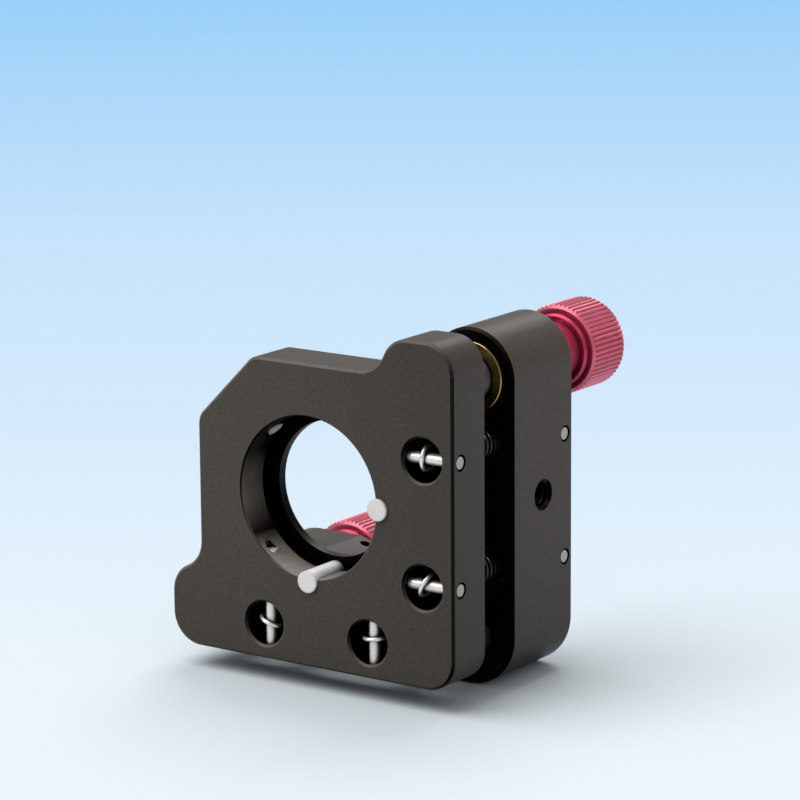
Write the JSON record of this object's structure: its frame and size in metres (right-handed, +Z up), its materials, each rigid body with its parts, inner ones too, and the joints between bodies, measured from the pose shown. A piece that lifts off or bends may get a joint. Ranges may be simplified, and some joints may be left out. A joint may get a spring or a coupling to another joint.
{
  "type": "kinematic mirror mount",
  "caption": "Kinematic mirror mount: a front plate with an optic bore on ball seats, held by tension springs to an L-shaped back plate and steered by fine-pitch knobs.",
  "frame": {"origin": "on the optic's axis, in the plane of the seat that the optic rests on", "axes": "+Y along the optic's axis to the rear, towards the knobs; +Z up; +X towards the right-hand leg"},
  "size_m": [0.0472, 0.0419, 0.0479],
  "materials": {
    "black_anodised": "black anodised aluminium, fine satin grain, bright worn bevels",
    "hardened_steel": "hardened and ground steel",
    "nylon": "white nylon",
    "black_steel": "black oxide steel",
    "brass": "turned brass, dulled on its end face",
    "stainless_steel": "stainless steel with a fine thread",
    "red_anodised": "pink-red anodised aluminium, knurled",
    "pin_steel": "ground steel pin",
    "spring_steel": "bright drawn spring wire"
  },
  "bodies": {
    "base": {"back_plate": "black_anodised", "upper_bushing": "brass", "side_bushing": "brass", "pivot_pin": "stainless_steel", "rear_pin_1": "pin_steel", "rear_pin_2": "pin_steel", "rear_pin_3": "pin_steel", "rear_pin_4": "pin_steel", "spring_1": "spring_steel", "spring_2": "spring_steel", "spring_3": "spring_steel", "spring_4": "spring_steel"},
    "gimbal": {"pivot_ball": "hardened_steel"},
    "platform": {"front_plate": "black_anodised", "cone_seat": "hardened_steel", "vee_seat": "hardened_steel", "flat_seat": "hardened_steel", "rod_side": "nylon", "rod_base": "nylon", "front_pin_1": "pin_steel", "front_pin_2": "pin_steel", "front_pin_3": "pin_steel", "front_pin_4": "pin_steel"},
    "upper_nose": {"upper_ball": "hardened_steel"},
    "upper_drive": {"upper_screw": "stainless_steel", "upper_knob": "red_anodised"},
    "side_nose": {"side_ball": "hardened_steel"},
    "side_drive": {"side_screw": "stainless_steel", "side_knob": "red_anodised"},
    "clamp_nose": {"clamp_tip": "nylon"},
    "clamp_drive": {"clamp_screw": "black_steel"}
  },
  "joints": [
    {"name": "tilt", "type": "hinge", "parent": "base", "child": "gimbal", "pos_m": [0.016, 0.0027, -0.019], "axis": [1, 0, 0], "range_deg": [-4, 4], "deforming": ["spring_1", "spring_2", "spring_3", "spring_4"]},
    {"name": "pan", "type": "hinge", "parent": "gimbal", "child": "platform", "pos_m": [0.016, 0.0027, -0.019], "axis": [0, 0, 1], "range_deg": [-4, 4]},
    {"name": "upper_slide", "type": "slide", "parent": "base", "child": "upper_nose", "axis": [0, -1, 0], "range_m": [-0.00238, 0.00238]},
    {"name": "upper_turn", "type": "hinge", "parent": "upper_nose", "child": "upper_drive", "pos_m": [0.016, 0.0027, 0.0152], "axis": [0, -1, 0], "range_deg": [-3430, 3430]},
    {"name": "side_slide", "type": "slide", "parent": "base", "child": "side_nose", "axis": [0, -1, 0], "range_m": [-0.00238, 0.00238]},
    {"name": "side_turn", "type": "hinge", "parent": "side_nose", "child": "side_drive", "pos_m": [-0.0182, 0.0027, -0.019], "axis": [0, -1, 0], "range_deg": [-3430, 3430]},
    {"name": "clamp_slide", "type": "slide", "parent": "platform", "child": "clamp_nose", "axis": [0.7071, 0, -0.7071], "range_m": [-0.0012, 0.0008]},
    {"name": "clamp_turn", "type": "hinge", "parent": "clamp_nose", "child": "clamp_drive", "pos_m": [0, -0.0027, 0], "axis": [0.7071, 0, -0.7071], "range_deg": [-866, 578]}
  ],
  "couplings": [
    {"joint": "upper_turn", "follows": "upper_slide", "rad_per_m": 25133},
    {"joint": "tilt", "follows": "upper_slide", "rad_per_m": 29.24},
    {"joint": "side_turn", "follows": "side_slide", "rad_per_m": 25133},
    {"joint": "pan", "follows": "side_slide", "rad_per_m": 29.24},
    {"joint": "clamp_turn", "follows": "clamp_slide", "rad_per_m": 12566}
  ]
}
